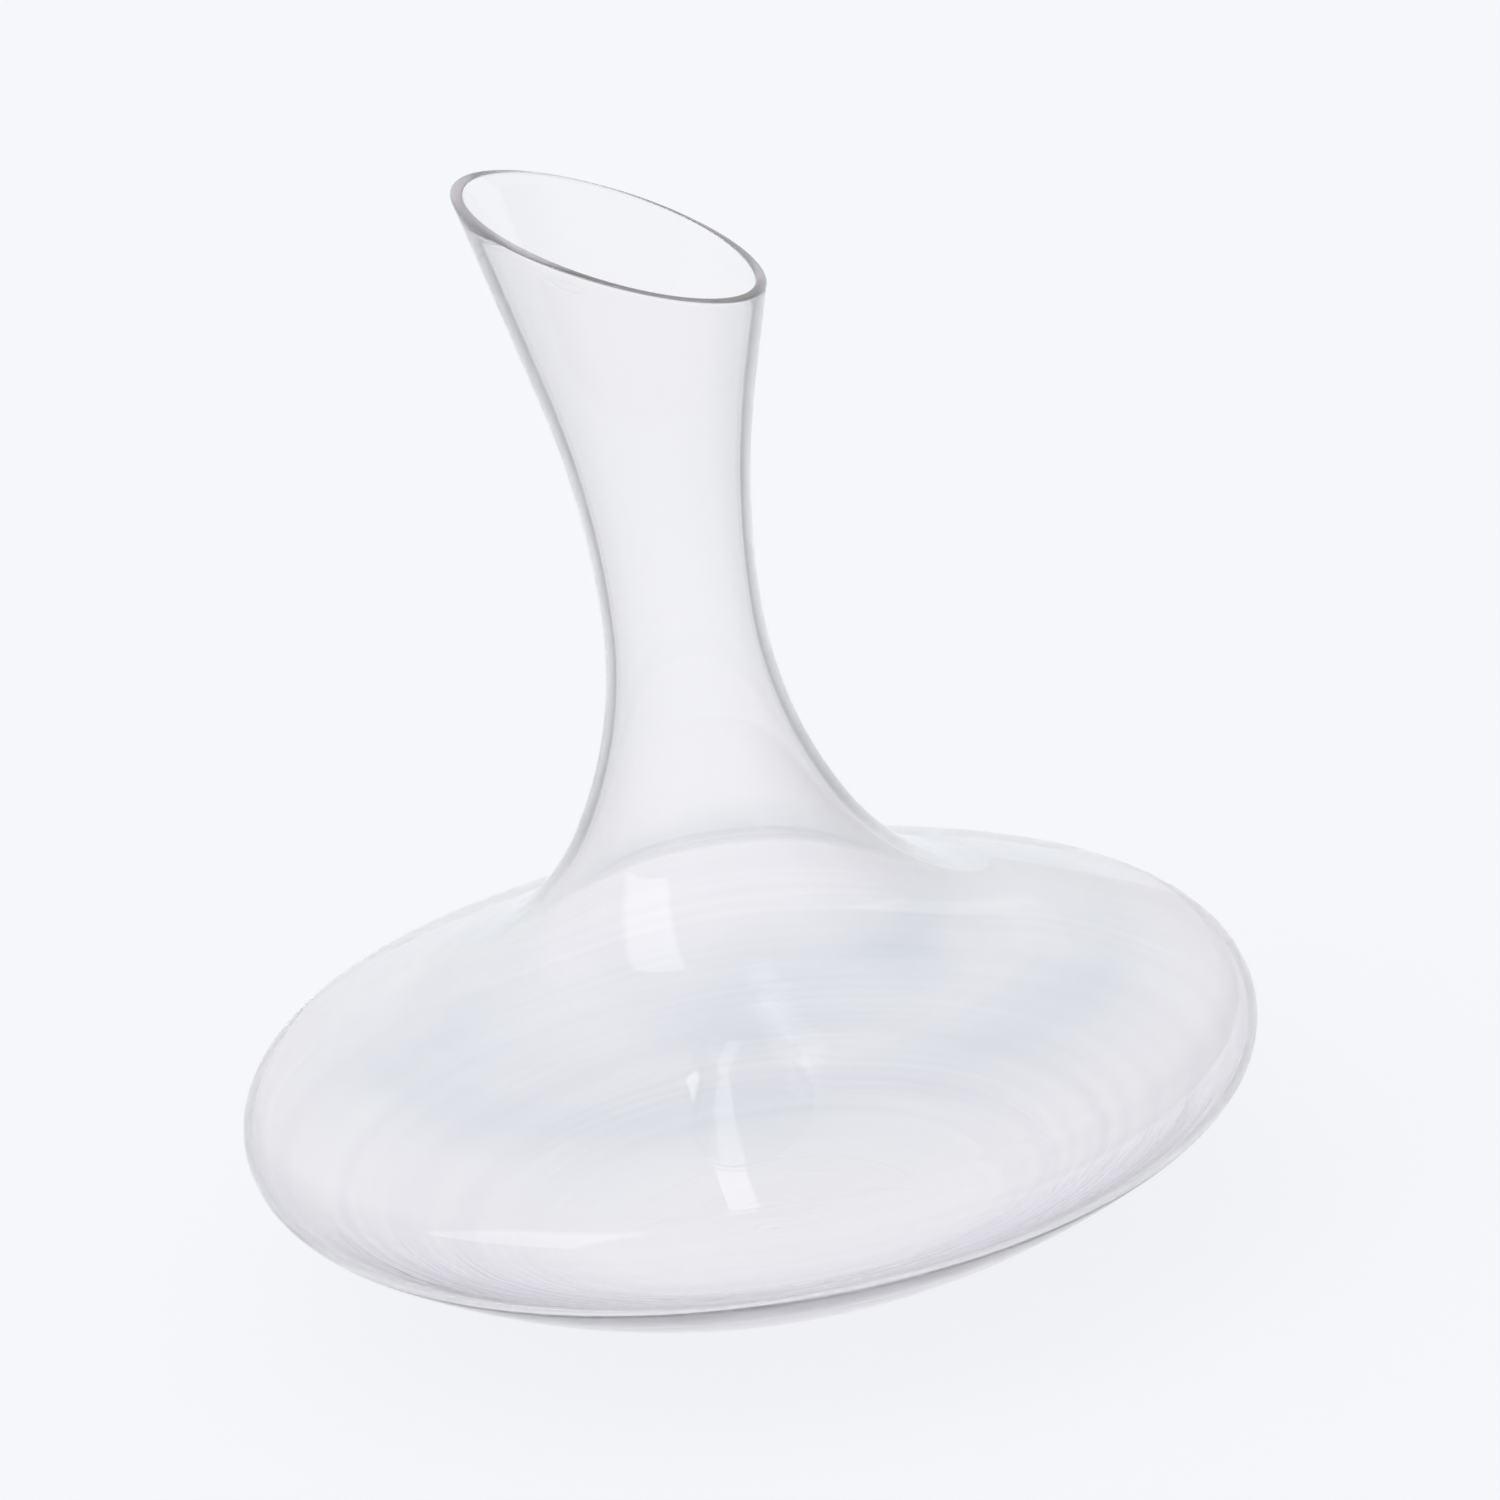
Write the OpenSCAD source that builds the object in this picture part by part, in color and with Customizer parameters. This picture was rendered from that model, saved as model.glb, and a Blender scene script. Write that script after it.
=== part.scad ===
// Wine decanter: one piece of blown clear glass, open at the mouth.
// It stands on Z = 0 with its axis on Z, and the mouth is highest towards -X.
// The outside is a chain of arcs that run into each other smoothly, turned round the axis.
// The inside follows the outside at the wall thickness of each place.

/* [Bowl] */
// Diameter of the bowl at its widest
bowl_d = 220; // [210:1:240]
// Height of the widest place above the table
bowl_z = 40; // [36:0.5:44]
// Radius of the rounded edge at the widest place
edge_r = 13; // [10:0.5:16]
// Radius of the curve under the bowl
belly_r = 185; // [160:5:260]
// Radius of the curve on top of the bowl
crown_r = 400; // [250:10:900]

/* [Base] */
// Outer diameter of the flat ring that the decanter stands on
base_d = 66; // [60:1:76]
// Radius of the heel, between the ring and the underside of the bowl
heel_r = 60; // [40:1:80]
// Diameter of the punt, the hollow inside the ring
punt_d = 50; // [36:1:54]
// Height of the punt at its middle
punt_h = 0.8; // [0.5:0.1:3]

/* [Neck] */
// Diameter of the waist, the narrowest place
waist_d = 34; // [30:0.5:40]
// Height of the waist above the table
waist_z = 147; // [142:1:156]
// Radius of the tight curve where the bowl turns up into the neck
shoulder_r = 67; // [55:1:75]
// Radius of the gentle curve from there up to the waist
neck_r = 102; // [95:1:120]
// Angle that the gentle curve turns through
neck_turn = 29; // [20:1:35]
// Radius of the curve from the waist up to the flare
flare_r = 208; // [180:2:260]
// Angle between the flare's straight wall and the axis
flare_angle = 14; // [10:0.5:18]

/* [Mouth] */
// Height of the slanted cut where it crosses the axis
mouth_z = 229.7; // [225:0.1:250]
// Slope of the cut
mouth_tilt = 24.8; // [0:0.2:28]

/* [Glass] */
// Thickness of the floor inside the ring
floor_wall = 3.4; // [2.5:0.1:5]
// Thickness at the heel
heel_wall = 3.2; // [2:0.1:5]
// Thickness at the widest place
edge_wall = 1.8; // [1.2:0.1:3]
// Thickness on top of the bowl
crown_wall = 1.8; // [1.2:0.1:3]
// Thickness at the waist
waist_wall = 2.1; // [1.5:0.1:3]
// Thickness at the mouth
mouth_wall = 2.4; // [1.5:0.1:3]

/* [Hidden] */

// Degrees of arc between two points of the outline, and sides round the axis
arc_step = 3;
round_sides = 180;
// Steps from the axis to the edge of the punt
punt_steps = 12;
// How far the tube runs past the cut, and the size of the block that makes the cut
cut_spare = 45;
cut_block = 160;

// Centres of the arcs, as [distance from the axis, height]
heel_c = [base_d / 2, heel_r];
edge_c = [bowl_d / 2 - edge_r, bowl_z];
neck_c = [waist_d / 2 + neck_r, waist_z];
flare_c = [waist_d / 2 + flare_r, waist_z];
neck_end = 180 + neck_turn;
shoulder_c = neck_c + (neck_r - shoulder_r) * unit(neck_end);
// The belly curve holds the heel and the edge inside it, and its centre is above them
belly_c = meeting(heel_c, belly_r - heel_r, edge_c, belly_r - edge_r);
// The crown curve holds the edge inside it and touches the shoulder from outside
crown_c = meeting(edge_c, crown_r - edge_r, shoulder_c, crown_r + shoulder_r);

// Directions in which the arcs meet, seen from their centres
heel_end = bearing(belly_c, heel_c);
edge_start = bearing(belly_c, edge_c);
edge_end = bearing(crown_c, edge_c);
crown_end = bearing(crown_c, shoulder_c);
flare_end = 180 - flare_angle;
flare_top = flare_c + flare_r * unit(flare_end);
tube_top = flare_top + (mouth_z + cut_spare - flare_top[1]) * [tan(flare_angle), 1];

function unit(a) = [cos(a), sin(a)];
function bearing(from, to) = atan2(to[1] - from[1], to[0] - from[0]);

// The point at distance ra from a and rb from b, on the left of the way from a to b
function meeting(a, ra, b, rb) =
    let (gap = norm(b - a))
    let (along = (ra * ra - rb * rb + gap * gap) / (2 * gap))
    let (way = (b - a) / gap)
    a + along * way + sqrt(ra * ra - along * along) * [-way[1], way[0]];

// A station of the outline is [place on the outside, direction out of the glass, wall thickness].
// An arc starts where the stations before it end, so it leaves its own first one out.
// Its outside faces away from its centre, or towards it with face = -1.
function arc(centre, r, from, to, wall_from, wall_to, face = 1) =
    let (steps = max(1, ceil(abs(to - from) / arc_step)))
    [for (i = [1:steps])
        let (t = i / steps, way = unit(from + (to - from) * t))
        [centre + r * way, face * way, wall_from + (wall_to - wall_from) * t]];

// The punt rises from the ring to the axis in half a wave, level at both ends
function punt() =
    [for (i = [0:punt_steps])
        let (turn = 180 * i / punt_steps)
        let (slope = -punt_h / punt_d * PI * sin(turn))
        [[punt_d / 2 * i / punt_steps, punt_h * (1 + cos(turn)) / 2],
         [slope, -1] / norm([slope, -1]),
         floor_wall + (heel_wall - floor_wall) * i / punt_steps]];

stations = concat(
    punt(),
    [[heel_c - [0, heel_r], [0, -1], heel_wall]],
    arc(heel_c, heel_r, -90, heel_end, heel_wall, heel_wall),
    arc(belly_c, belly_r, heel_end, edge_start, heel_wall, edge_wall),
    arc(edge_c, edge_r, edge_start, edge_end, edge_wall, edge_wall),
    arc(crown_c, crown_r, edge_end, crown_end, edge_wall, crown_wall),
    arc(shoulder_c, shoulder_r, crown_end + 180, neck_end, crown_wall, waist_wall, -1),
    arc(neck_c, neck_r, neck_end, 180, waist_wall, waist_wall, -1),
    arc(flare_c, flare_r, 180, flare_end, waist_wall, mouth_wall, -1),
    [[tube_top, -unit(flare_end), mouth_wall]]
);

outside = [for (s = stations) s[0]];
inside = [for (i = [len(stations) - 1:-1:0]) stations[i][0] - stations[i][2] * stations[i][1]];

module above_the_cut() {
    translate([0, 0, mouth_z])
        rotate([0, mouth_tilt, 0])
            translate([-cut_block / 2, -cut_block / 2, 0])
                cube(cut_block);
}

module glass_vessel() {
    color([0.86, 0.88, 0.91, 0.45])
        difference() {
            rotate_extrude($fn = round_sides)
                polygon(concat(outside, inside));
            above_the_cut();
        }
}

glass_vessel();
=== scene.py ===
"""The looks of a clear blown-glass wine decanter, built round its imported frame."""

import math

import bpy
import numpy as np
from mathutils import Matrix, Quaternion, Vector


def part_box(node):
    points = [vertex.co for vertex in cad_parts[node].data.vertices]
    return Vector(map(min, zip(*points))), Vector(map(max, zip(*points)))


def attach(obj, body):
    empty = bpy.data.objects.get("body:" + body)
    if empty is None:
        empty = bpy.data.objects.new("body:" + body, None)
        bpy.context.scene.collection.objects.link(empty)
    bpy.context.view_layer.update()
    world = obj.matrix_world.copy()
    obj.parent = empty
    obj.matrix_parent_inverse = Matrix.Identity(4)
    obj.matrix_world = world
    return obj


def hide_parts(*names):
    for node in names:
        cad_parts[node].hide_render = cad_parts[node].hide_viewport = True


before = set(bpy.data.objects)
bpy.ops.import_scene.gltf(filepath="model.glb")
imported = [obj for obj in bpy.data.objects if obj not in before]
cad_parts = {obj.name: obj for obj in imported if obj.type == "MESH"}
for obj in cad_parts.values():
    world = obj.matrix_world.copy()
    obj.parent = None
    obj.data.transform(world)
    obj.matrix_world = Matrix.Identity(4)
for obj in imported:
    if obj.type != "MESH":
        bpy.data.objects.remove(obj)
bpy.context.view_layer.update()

# ---- Driving dimensions of the glass, in metres and degrees, as the CAD source has them ----
NODE = "glass_vessel"
BOWL_R = (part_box(NODE)[1].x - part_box(NODE)[0].x) / 2
BOWL_Z = 0.040
EDGE_R = 0.013
BELLY_R = 0.185
CROWN_R = 0.400
BASE_R = 0.033
HEEL_R = 0.060
PUNT_R = 0.025
PUNT_H = 0.0008
WAIST_R = 0.017
WAIST_Z = 0.147
SHOULDER_R = 0.067
NECK_R = 0.102
NECK_TURN = 29
FLARE_R = 0.208
FLARE_ANGLE = 14
MOUTH_Z = 0.2297
MOUTH_TILT = 24.8
FLOOR_WALL = 0.0034
HEEL_WALL = 0.0032
EDGE_WALL = 0.0018
CROWN_WALL = 0.0018
WAIST_WALL = 0.0021
MOUTH_WALL = 0.0024

# ---- How finely the mesh is made ----
COLUMNS = 480
ROW_STEP = 0.0015
TURN_STEP = 1.5
TUBE_ROWS = 14
LIP_RADIUS = 0.0006
LIP_STEPS = 5

# ---- The glass, as a material ----
# A table whose name ends in _AT, INSIDE or OUTSIDE gives a strength by height in metres, with
# straight lines between its rows.
REFRACTION = 1.5
CLEAR = (0.994, 0.986, 0.988, 1)
DEPTH_COLOUR = (0.60, 0.58, 0.64, 1)
DEPTH_DENSITY = 6.0
# Each noise has how fast it changes round the glass and for each metre of wall, its octaves of
# detail and, where it colours the glass, a contrast as a factor and an offset. CLOUDS_FROM is
# where the clouds start in their noise, and NOISE_TWIST bends every noise a little.
NOISE_TWIST = 0.4
# Faint clouds in the tint, whose mean also darkens the crown as painted shade for the floor's shadow
# seen through the glass
CLOUD_AND_SHADE_TINT = (0.800, 0.840, 0.860, 1)
CLOUDS_ROUND = 1.0
CLOUDS_PER_METRE = 42
CLOUDS_DETAIL = 2
CLOUDS_FROM = (2.0, 11.0, 8.0)
CLOUDS_CONTRAST = (1.5, -0.25)
CLOUDS_AND_SHADE_AT = [(0.050, 0.15), (0.062, 1.15), (0.076, 1.15), (0.090, 0.05)]
# Fine cords in the glass of the lower bowl, whose mean also darkens the lower bowl as painted shade for
# the floor's shadow seen through the glass
CORD_AND_SHADE_TINT = (0.910, 0.890, 0.925, 1)
CORDS_ROUND = 0.5
CORDS_PER_METRE = 330
CORDS_DETAIL = 3
CORDS_CONTRAST = (2.6, -0.8)
CORDS_AND_SHADE_AT = [(0.003, 0.0), (0.006, 1.0), (0.016, 1.0), (0.026, 0.8), (0.042, 0.8), (0.051, 0.0)]
# Ripples left by blowing, on the inside wall and under the belly
RIPPLE_HEIGHT = 0.0002
RIPPLES_ROUND = 0.5
RIPPLES_PER_METRE = 160
RIPPLES_DETAIL = 3
RIPPLES_INSIDE = [(0.0045, 0.08), (0.012, 1.0), (0.022, 1.0), (0.046, 0.03), (0.060, 0.0)]
RIPPLES_OUTSIDE = [(0.004, 0.4), (0.012, 0.0)]
# Painted shade: where light within the glass meets the inside wall near its critical angle, the wall
# is painted grey and made partly opaque, standing in for the dark surroundings seen in the edges.
# Each row of the table below is 1 less the cosine of the light's angle from square to the wall, and
# the share painted as shade. Where all of it is painted shade, the surface is the grey below, and
# the opaque share of it lets nothing through.
EDGE_SHADE_GREY = (0.10, 0.10, 0.13, 1)
EDGE_SHADE_OPAQUE = 0.6
EDGE_SHADE_BY_FACING = [
    (0.0, 0.0), (0.13, 0.08), (0.22, 0.22), (0.250, 0.42),
    (0.256, 1.0), (0.295, 0.62), (0.335, 0.30), (0.39, 0.0),
]
# How strongly the painted edge shade shows, by height
EDGE_SHADE_AT = [(0.022, 0.0), (0.036, 0.6), (0.046, 0.6), (0.056, 0.2), (0.072, 0.2), (0.100, 1.0)]
# The rim was ground flat and then only partly polished: the share of it that looks frosted
# from outside, and its roughness
RIM_FROST = 0.2
RIM_ROUGHNESS = 0.2

# ---- The floor, the room and the lights, in metres, degrees and watts ----
FLOOR_SIZE = 60.0
PAPER = (0.095, 0.097, 0.100, 1)
PAPER_GLOW = (0.913, 0.930, 0.965, 1)
PAPER_LIGHT = 0.905
ROOM = (0.995, 0.985, 1.0, 1)
ROOM_LIGHT = 0.82
# Brighter and darker sides of the room: bearing, elevation, how wide (as a cosine), how much
ROOM_SIDES = [(120, 30, 0.6, 0.22), (-165, 35, 0.3, 0.22), (15, 5, 0.55, -0.32)]
SOFTBOX_PLACE = Vector((-0.79, -0.345, 1.07))
SOFTBOX_FACES = Vector((0.5, 0.86, 0))
SOFTBOX_SIZE = (0.69, 1.06)
SOFTBOX_POWER = 1.9
STRIP_PLACE = Vector((-0.130, 0.520, 1.51))
STRIP_SIZE = (0.07, 0.52)
STRIP_POWER = 0.11

# ---- The camera and the film, in metres and degrees, with the lens in millimetres ----
# The azimuth is counted from -Y, the front, towards +X
CAMERA_DISTANCE = 2.5
CAMERA_AZIMUTH = 3.07
CAMERA_ELEVATION = 21.54
CAMERA_ROLL = 8.42
CAMERA_CLIP = (0.1, 200)
LENS = 281.5
# The camera goes round this point of the axis, and aims a little to its right and above it
ON_AXIS = Vector((0, 0, 0.110))
AIM_RIGHT = 0.00966
AIM_UP = 0.00337
# Light is trapped in the walls and the base, and comes out only after many turns
BOUNCES = 64


def unit(angle):
    """The direction at an angle in degrees, as [from the axis, up]."""
    return np.array([math.cos(math.radians(angle)), math.sin(math.radians(angle))])


def bearing(start, end):
    """The angle in degrees of the way from start to end."""
    return math.degrees(math.atan2(end[1] - start[1], end[0] - start[0]))


def meeting(a, ra, b, rb):
    """The point at distance ra from a and rb from b, on the left of the way from a to b."""
    gap = np.linalg.norm(b - a)
    along = (ra * ra - rb * rb + gap * gap) / (2 * gap)
    way = (b - a) / gap
    return a + along * way + math.sqrt(ra * ra - along * along) * np.array([-way[1], way[0]])


def arc(centre, radius, start, end, wall_start, wall_end, face=1):
    """Stations along an arc: place on the outside, direction out of the glass, wall."""
    turn = abs(end - start)
    steps = max(math.ceil(turn / TURN_STEP), math.ceil(radius * math.radians(turn) / ROW_STEP))
    stations = []
    for i in range(1, steps + 1):
        way = unit(start + (end - start) * i / steps)
        wall = wall_start + (wall_end - wall_start) * i / steps
        stations.append((centre + radius * way, face * way, wall))
    return stations


def punt():
    """Stations across the hollow under the base, half a wave from the axis to the ring."""
    steps = math.ceil(PUNT_R / ROW_STEP)
    stations = []
    for i in range(steps + 1):
        share = i / steps
        slope = -PUNT_H * math.pi / (2 * PUNT_R) * math.sin(math.pi * share)
        out = np.array([slope, -1]) / math.hypot(slope, 1)
        height = PUNT_H * (1 + math.cos(math.pi * share)) / 2
        wall = FLOOR_WALL + (HEEL_WALL - FLOOR_WALL) * share
        stations.append((np.array([PUNT_R * share, height]), out, wall))
    return stations


def outline():
    """Stations from the middle of the punt up to the straight part of the flare."""
    heel = np.array([BASE_R, HEEL_R])
    edge = np.array([BOWL_R - EDGE_R, BOWL_Z])
    neck = np.array([WAIST_R + NECK_R, WAIST_Z])
    flare = np.array([WAIST_R + FLARE_R, WAIST_Z])
    neck_end = 180 + NECK_TURN
    shoulder = neck + (NECK_R - SHOULDER_R) * unit(neck_end)
    belly = meeting(heel, BELLY_R - HEEL_R, edge, BELLY_R - EDGE_R)
    crown = meeting(edge, CROWN_R - EDGE_R, shoulder, CROWN_R + SHOULDER_R)
    heel_end, edge_start = bearing(belly, heel), bearing(belly, edge)
    edge_end, crown_end = bearing(crown, edge), bearing(crown, shoulder)
    return [
        *punt(),
        *arc(heel, HEEL_R, -90, heel_end, HEEL_WALL, HEEL_WALL),
        *arc(belly, BELLY_R, heel_end, edge_start, HEEL_WALL, EDGE_WALL),
        *arc(edge, EDGE_R, edge_start, edge_end, EDGE_WALL, EDGE_WALL),
        *arc(crown, CROWN_R, edge_end, crown_end, EDGE_WALL, CROWN_WALL),
        *arc(shoulder, SHOULDER_R, crown_end + 180, neck_end, CROWN_WALL, WAIST_WALL, -1),
        *arc(neck, NECK_R, neck_end, 180, WAIST_WALL, WAIST_WALL, -1),
        *arc(flare, FLARE_R, 180, 180 - FLARE_ANGLE, WAIST_WALL, MOUTH_WALL, -1),
    ]


def lip_corner(corner, way_in, way_out):
    """Points of a small round where two straight lines would meet at corner."""
    half = math.acos(float(np.dot(way_in, way_out))) / 2
    bisector = (way_in + way_out) / np.linalg.norm(way_in + way_out)
    centre = corner + bisector * LIP_RADIUS / math.sin(half)
    first = corner + way_in * LIP_RADIUS / math.tan(half) - centre
    last = corner + way_out * LIP_RADIUS / math.tan(half) - centre
    start = math.degrees(math.atan2(first[1], first[0]))
    turn = (math.degrees(math.atan2(last[1], last[0])) - start + 180) % 360 - 180
    return [centre + LIP_RADIUS * unit(start + turn * i / LIP_STEPS) for i in range(LIP_STEPS + 1)]


def column(stations, angle):
    """The section of the glass at one angle round the axis: outside, rim and inside points [r, z]."""
    outer, out, wall = stations[-1]
    inner = outer - wall * out
    along = unit(90 - FLARE_ANGLE)
    slope = -math.tan(math.radians(MOUTH_TILT)) * math.cos(angle)
    cut = np.array([1, slope]) / math.hypot(1, slope)

    def corner(start):
        """Where the straight flare through start meets the mouth's slanted cut."""
        rise = MOUTH_Z + slope * start[0] - start[1]
        return start + along * rise / (along[1] - slope * along[0])

    rim = lip_corner(corner(outer), -along, -cut) + lip_corner(corner(inner), cut, -along)
    shares = [i / TUBE_ROWS for i in range(1, TUBE_ROWS)]
    up = [outer + (rim[0] - outer) * s for s in shares]
    down = [rim[-1] + (inner - rim[-1]) * s for s in shares]
    outside = [s[0] for s in stations]
    inside = [s[0] - s[2] * s[1] for s in reversed(stations)]
    return [outside + up, rim, down + inside]


def by_height(heights, table):
    """The values a table of (height, value) gives at some heights."""
    return np.interp(heights, *zip(*table)).tolist()


def along_the_wall(radii, heights):
    """The distance of each row of points along the section, from the axis up and back down."""
    steps = np.hypot(np.diff(radii), np.diff(heights))
    out = np.concatenate([[0], np.cumsum(steps)])
    return np.minimum(out, out[-1] - out).tolist()


def skin(per):
    """The faces between columns of per points, closed round each end of the axis."""
    under, over = COLUMNS * per, COLUMNS * per + 1
    faces = []
    for i in range(COLUMNS):
        a, b = i * per, (i + 1) % COLUMNS * per
        faces += [(a + k, b + k, b + k + 1, a + k + 1) for k in range(per - 1)]
        faces.append((under, b, a))
        faces.append((over, a + per - 1, b + per - 1))
    return faces


def marks(radii, heights, outside_rows, rim_rows, inside_rows):
    """What the material is told about each row of points."""
    around, inside = outside_rows + rim_rows, heights[-inside_rows:]
    return {
        "rim": [0] * (outside_rows + 1) + [1] * (rim_rows - 2) + [0] * (inside_rows + 1),
        # Where the inside wall gets painted shade at its edges
        "edge_shade": [0] * around + by_height(inside, EDGE_SHADE_AT),
        "ripple": by_height(heights[:around], RIPPLES_OUTSIDE) + by_height(inside, RIPPLES_INSIDE),
        # Clouds, with painted shade on the crown
        "cloud_and_shade": by_height(heights, CLOUDS_AND_SHADE_AT),
        # Cords, with painted shade on the lower bowl
        "cord_and_shade": by_height(heights, CORDS_AND_SHADE_AT),
        "along": along_the_wall(radii, heights),
    }


def glass_mesh():
    """The whole glass as one closed skin: outside, rim and inside."""
    stations = outline()
    angles = [2 * math.pi * i / COLUMNS for i in range(COLUMNS)]
    parts = [column(stations, a) for a in angles]
    sections = np.array([sum(p, []) for p in parts])
    radii, heights = sections[:, :, 0], sections[:, :, 1]
    turn = np.array(angles)[:, None]
    points = np.stack([radii * np.cos(turn), radii * np.sin(turn), heights], axis=2)
    rings = points[:, 1:-1]
    vertices = np.vstack([rings.reshape(-1, 3), points[0, 0], points[0, -1]])
    mesh = bpy.data.meshes.new("glass")
    mesh.from_pydata(vertices.tolist(), [], skin(rings.shape[1]))
    mesh.polygons.foreach_set("use_smooth", [True] * len(mesh.polygons))
    mesh.update()
    for name, by_row in marks(radii[0], heights[0], *[len(p) for p in parts[0]]).items():
        attribute = mesh.attributes.new(name, "FLOAT", "POINT")
        attribute.data.foreach_set("value", by_row[1:-1] * COLUMNS + [by_row[0], by_row[-1]])
    return mesh


def mark(tree, name):
    """The value of one of the mesh's marks at a point of the surface."""
    found = tree.nodes.new("ShaderNodeAttribute")
    found.attribute_name = name
    return found.outputs["Fac"]


def feed(tree, socket, value):
    """Link an output to a socket, or set the socket to a plain value."""
    if isinstance(value, bpy.types.NodeSocket):
        tree.links.new(value, socket)
    else:
        socket.default_value = value


def operate(tree, kind, operation, *terms):
    """The outputs of a new math or vector math node with its terms."""
    node = tree.nodes.new(kind)
    node.operation = operation
    for socket, value in zip(node.inputs, terms):
        feed(tree, socket, value)
    return node.outputs


def math_node(tree, operation, *terms):
    """The result of a sum or product of outputs and numbers."""
    return operate(tree, "ShaderNodeMath", operation, *terms)["Value"]


def vector_node(tree, operation, *terms):
    """The result of an operation on vectors."""
    return operate(tree, "ShaderNodeVectorMath", operation, *terms)["Vector"]


def mix_colours(tree, share, first, second):
    """A colour between two, each an output or a plain colour."""
    # A mix node has its colour sockets after those for numbers and vectors
    node = tree.nodes.new("ShaderNodeMix")
    node.data_type = "RGBA"
    feed(tree, node.inputs[0], share)
    feed(tree, node.inputs[6], first)
    feed(tree, node.inputs[7], second)
    return node.outputs[2]


def drawn_out_noise(tree, per_turn, per_metre, detail, start=(0, 0, 0)):
    """Noise drawn out round the axis, as blown and turned glass has it."""
    place = tree.nodes.new("ShaderNodeTexCoord").outputs["Object"]
    level = vector_node(tree, "MULTIPLY", place, (1, 1, 0))
    turned = vector_node(tree, "NORMALIZE", level)
    spread = vector_node(tree, "MULTIPLY", turned, (per_turn, per_turn, 0))
    rows = tree.nodes.new("ShaderNodeCombineXYZ")
    feed(tree, rows.inputs["Z"], math_node(tree, "MULTIPLY", mark(tree, "along"), per_metre))
    where = vector_node(tree, "ADD", spread, rows.outputs[0])
    noise = tree.nodes.new("ShaderNodeTexNoise")
    feed(tree, noise.inputs["Vector"], vector_node(tree, "ADD", where, start))
    noise.inputs["Scale"].default_value = 1
    noise.inputs["Detail"].default_value = detail
    noise.inputs["Distortion"].default_value = NOISE_TWIST
    return noise.outputs["Fac"]


def where_marked(tree, noise, contrast, name):
    """Noise with its contrast set, where one of the mesh's marks lets it show."""
    contrasted = math_node(tree, "MULTIPLY_ADD", noise, *contrast)
    return math_node(tree, "MULTIPLY", contrasted, mark(tree, name))


def glass_tint(tree):
    """The colour light takes at the surface: nearly clear, with clouds and cords that also carry
    painted shade by height.
    """
    clouds = drawn_out_noise(tree, CLOUDS_ROUND, CLOUDS_PER_METRE, CLOUDS_DETAIL, CLOUDS_FROM)
    cords = drawn_out_noise(tree, CORDS_ROUND, CORDS_PER_METRE, CORDS_DETAIL)
    # Besides clouds and cords, these tints darken the crown and the lower bowl as painted shade
    clouded = mix_colours(tree, where_marked(tree, clouds, CLOUDS_CONTRAST, "cloud_and_shade"), CLEAR, CLOUD_AND_SHADE_TINT)
    return mix_colours(tree, where_marked(tree, cords, CORDS_CONTRAST, "cord_and_shade"), clouded, CORD_AND_SHADE_TINT)


def painted_edge_shade(tree, within):
    """The share of painted shade on the inside wall where it is met from within the glass."""
    # At a blend of one half, Facing is 1 less the cosine of the angle from square
    facing = tree.nodes.new("ShaderNodeLayerWeight")
    facing.inputs["Blend"].default_value = 0.5
    shade_ramp = tree.nodes.new("ShaderNodeValToRGB")
    stops = shade_ramp.color_ramp.elements
    while len(stops) < len(EDGE_SHADE_BY_FACING):
        stops.new(0.5)
    for stop, (place, share) in zip(stops, EDGE_SHADE_BY_FACING):
        stop.position = place
        stop.color = (share, share, share, 1)
    feed(tree, shade_ramp.inputs["Fac"], facing.outputs["Facing"])
    edge = math_node(tree, "MULTIPLY", shade_ramp.outputs["Color"], within)
    return math_node(tree, "MULTIPLY", edge, mark(tree, "edge_shade"))


def ripples(tree):
    """The direction the rippled surface faces."""
    bump = tree.nodes.new("ShaderNodeBump")
    bump.inputs["Distance"].default_value = RIPPLE_HEIGHT
    feed(tree, bump.inputs["Strength"], mark(tree, "ripple"))
    height = drawn_out_noise(tree, RIPPLES_ROUND, RIPPLES_PER_METRE, RIPPLES_DETAIL)
    feed(tree, bump.inputs["Height"], height)
    return bump.outputs["Normal"]


def clear_glass():
    """Clear glass with faint clouds and cords that also carry painted shade, ripples, painted shade at
    its edges and a half-polished rim.
    """
    material = bpy.data.materials.new("clear_glass")
    material.use_nodes = True
    tree = material.node_tree
    shader = tree.nodes["Principled BSDF"]
    shader.inputs["IOR"].default_value = REFRACTION

    within = tree.nodes.new("ShaderNodeNewGeometry").outputs["Backfacing"]
    # edge is the share of painted edge shade: it greys the colour and takes away transmission
    edge = painted_edge_shade(tree, within)
    feed(tree, shader.inputs["Base Color"], mix_colours(tree, edge, glass_tint(tree), EDGE_SHADE_GREY))
    feed(tree, shader.inputs["Normal"], ripples(tree))

    # The rim is frosted only as seen from outside the glass
    rim = mark(tree, "rim")
    seen = math_node(tree, "MULTIPLY_ADD", within, -RIM_FROST, RIM_FROST)
    frost = math_node(tree, "MULTIPLY", rim, seen)
    let_through = math_node(tree, "MULTIPLY_ADD", edge, -EDGE_SHADE_OPAQUE, 1.0)
    feed(tree, shader.inputs["Transmission Weight"], math_node(tree, "SUBTRACT", let_through, frost))
    feed(tree, shader.inputs["Roughness"], math_node(tree, "MULTIPLY", rim, RIM_ROUGHNESS))

    depth = tree.nodes.new("ShaderNodeVolumeAbsorption")
    depth.inputs["Color"].default_value = DEPTH_COLOUR
    depth.inputs["Density"].default_value = DEPTH_DENSITY
    feed(tree, tree.nodes["Material Output"].inputs["Volume"], depth.outputs["Volume"])
    return material


def vessel():
    """The whole decanter, the only piece."""
    piece = bpy.data.objects.new("decanter_glass", glass_mesh())
    bpy.context.scene.collection.objects.link(piece)
    piece.data.materials.append(clear_glass())
    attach(piece, "root")
    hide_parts(NODE)


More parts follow.
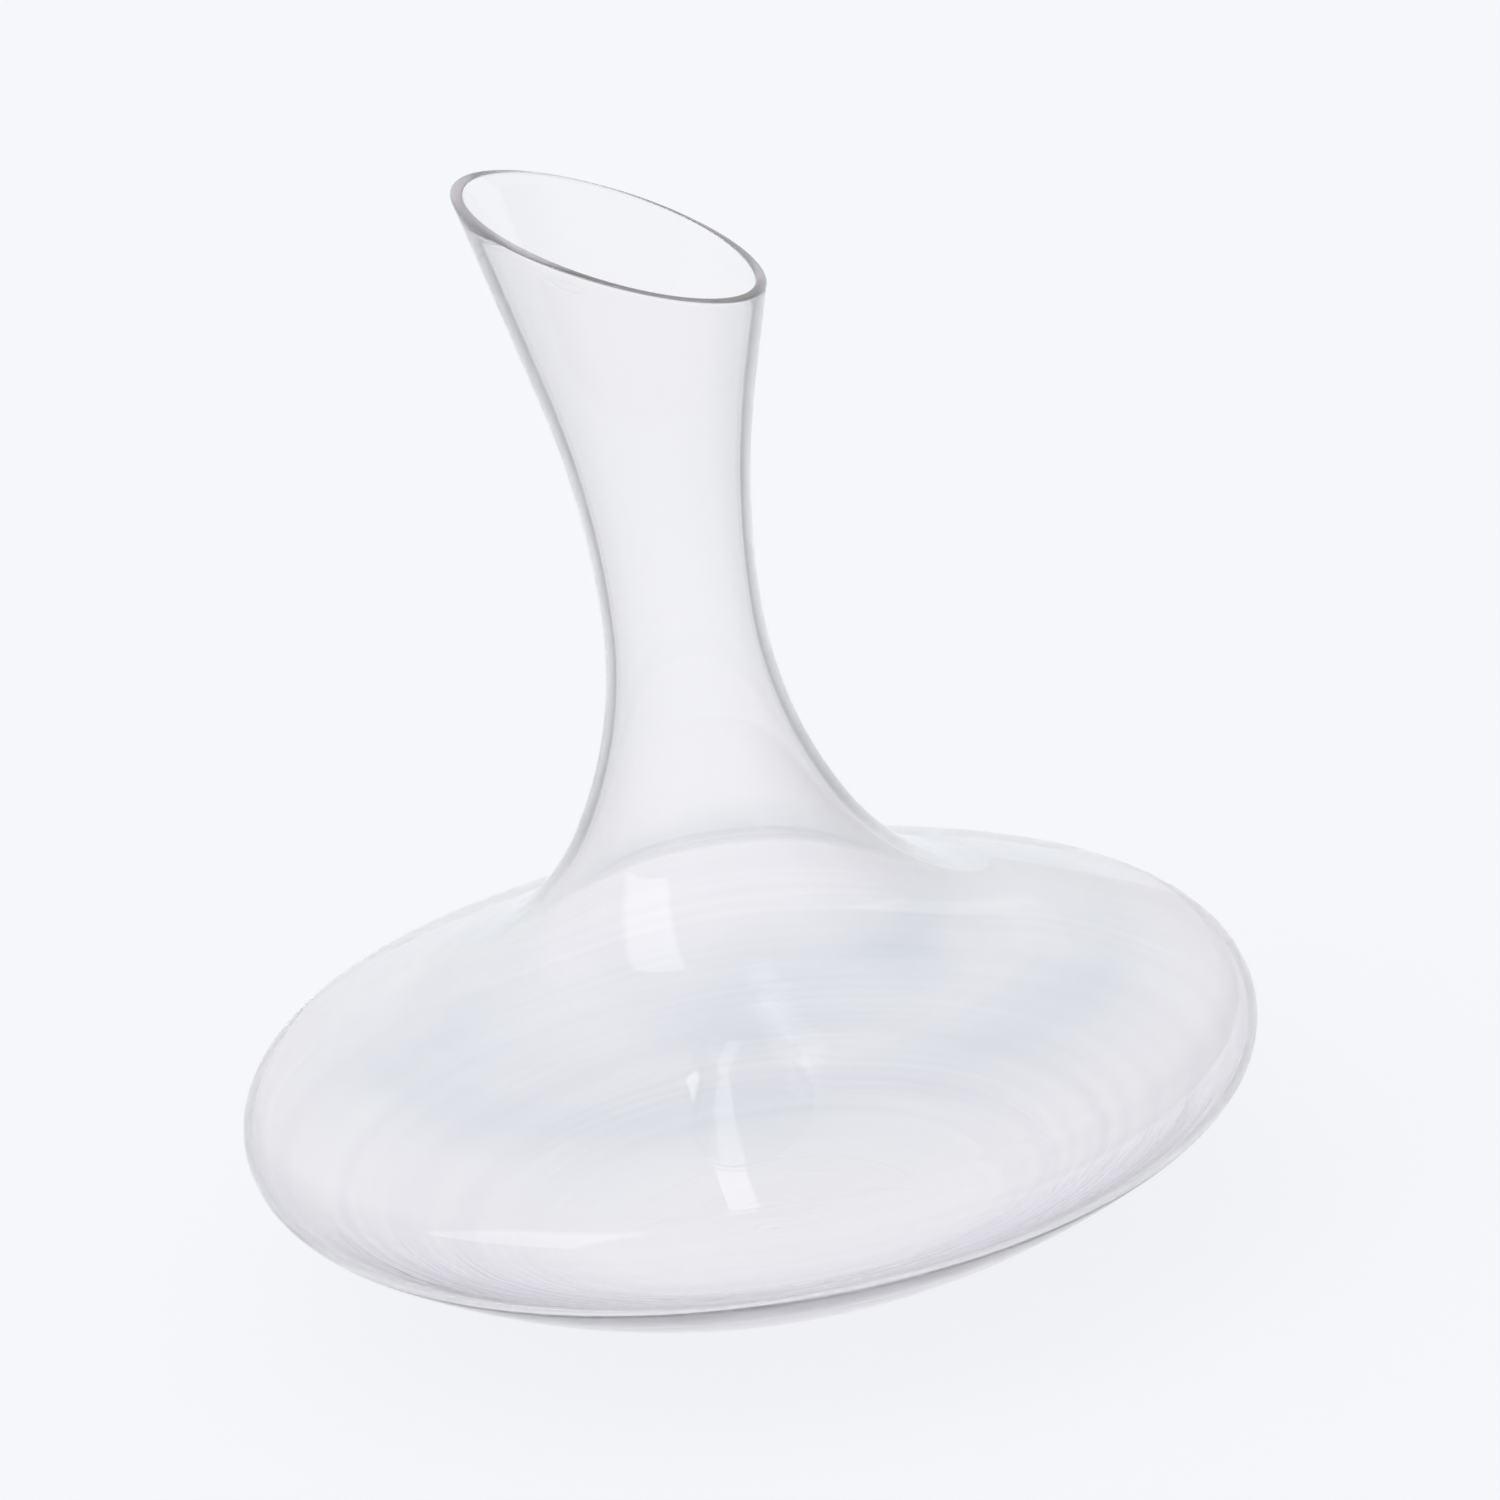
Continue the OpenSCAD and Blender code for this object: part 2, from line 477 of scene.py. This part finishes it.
def pale_floor():
    """A plain pale floor, mostly lit by its own glow, so that it stays even."""
    half = FLOOR_SIZE / 2
    corners = [(-half, -half, 0), (half, -half, 0), (half, half, 0), (-half, half, 0)]
    mesh = bpy.data.meshes.new("floor")
    mesh.from_pydata(corners, [], [(0, 1, 2, 3)])
    piece = bpy.data.objects.new("floor", mesh)
    bpy.context.scene.collection.objects.link(piece)
    material = bpy.data.materials.new("pale_floor")
    material.use_nodes = True
    shader = material.node_tree.nodes["Principled BSDF"]
    shader.inputs["Base Color"].default_value = PAPER
    shader.inputs["Roughness"].default_value = 1.0
    shader.inputs["Specular IOR Level"].default_value = 0.0
    shader.inputs["Emission Color"].default_value = PAPER_GLOW
    shader.inputs["Emission Strength"].default_value = PAPER_LIGHT
    mesh.materials.append(material)


def direction(bearing_deg, elevation):
    """The direction at a bearing from +X towards +Y and an elevation above the floor, in degrees."""
    b, e = math.radians(bearing_deg), math.radians(elevation)
    return Vector((math.cos(b) * math.cos(e), math.sin(b) * math.cos(e), math.sin(e)))


def room():
    """The surroundings: an even pale room with brighter and darker sides."""
    world = bpy.data.worlds.new("room")
    world.use_nodes = True
    tree = world.node_tree
    place = tree.nodes.new("ShaderNodeTexCoord").outputs["Generated"]
    light = ROOM_LIGHT
    for bearing_deg, elevation, width, amount in ROOM_SIDES:
        middle = direction(bearing_deg, elevation)
        facing = operate(tree, "ShaderNodeVectorMath", "DOT_PRODUCT", place, middle)["Value"]
        side = tree.nodes.new("ShaderNodeMapRange")
        side.interpolation_type = "SMOOTHSTEP"
        side.inputs["From Min"].default_value = width
        side.inputs["To Max"].default_value = amount
        feed(tree, side.inputs["Value"], facing)
        light = math_node(tree, "ADD", light, side.outputs["Result"])
    background = tree.nodes["Background"]
    background.inputs["Color"].default_value = ROOM
    feed(tree, background.inputs["Strength"], light)
    bpy.context.scene.world = world


def softbox(name, place, faces, size, power):
    """A soft rectangular light at a place, facing a direction."""
    light = bpy.data.lights.new(name, "AREA")
    light.shape = "RECTANGLE"
    light.size, light.size_y = size
    light.energy = power
    box = bpy.data.objects.new(name, light)
    box.location = place
    box.rotation_mode = "QUATERNION"
    box.rotation_quaternion = faces.to_track_quat("-Z", "Y")
    bpy.context.scene.collection.objects.link(box)


def studio():
    """The room, a tall softbox at the front left and a short strip above, aimed at the base."""
    room()
    softbox("left_softbox", SOFTBOX_PLACE, SOFTBOX_FACES, SOFTBOX_SIZE, SOFTBOX_POWER)
    softbox("overhead_strip", STRIP_PLACE, -STRIP_PLACE, STRIP_SIZE, STRIP_POWER)


def camera():
    """The camera, a little above the bowl and rolled."""
    data = bpy.data.cameras.new("camera")
    data.lens = LENS
    data.clip_start, data.clip_end = CAMERA_CLIP
    eye = bpy.data.objects.new("camera", data)
    back = direction(CAMERA_AZIMUTH - 90, CAMERA_ELEVATION)
    roll = Quaternion((0, 0, 1), -math.radians(CAMERA_ROLL))
    level = (-back).to_track_quat("-Z", "Y") @ roll
    aim = ON_AXIS + level @ Vector((AIM_RIGHT, AIM_UP, 0))
    eye.location = ON_AXIS + back * CAMERA_DISTANCE
    eye.rotation_mode = "QUATERNION"
    eye.rotation_quaternion = (aim - eye.location).to_track_quat("-Z", "Y") @ roll
    bpy.context.scene.collection.objects.link(eye)
    bpy.context.scene.camera = eye


def film():
    """How the picture is developed, and how long light is followed."""
    scene = bpy.context.scene
    scene.view_settings.view_transform = "Standard"
    scene.cycles.max_bounces = BOUNCES
    scene.cycles.glossy_bounces = BOUNCES
    scene.cycles.transmission_bounces = BOUNCES


camera()
vessel()
pale_floor()
studio()
film()
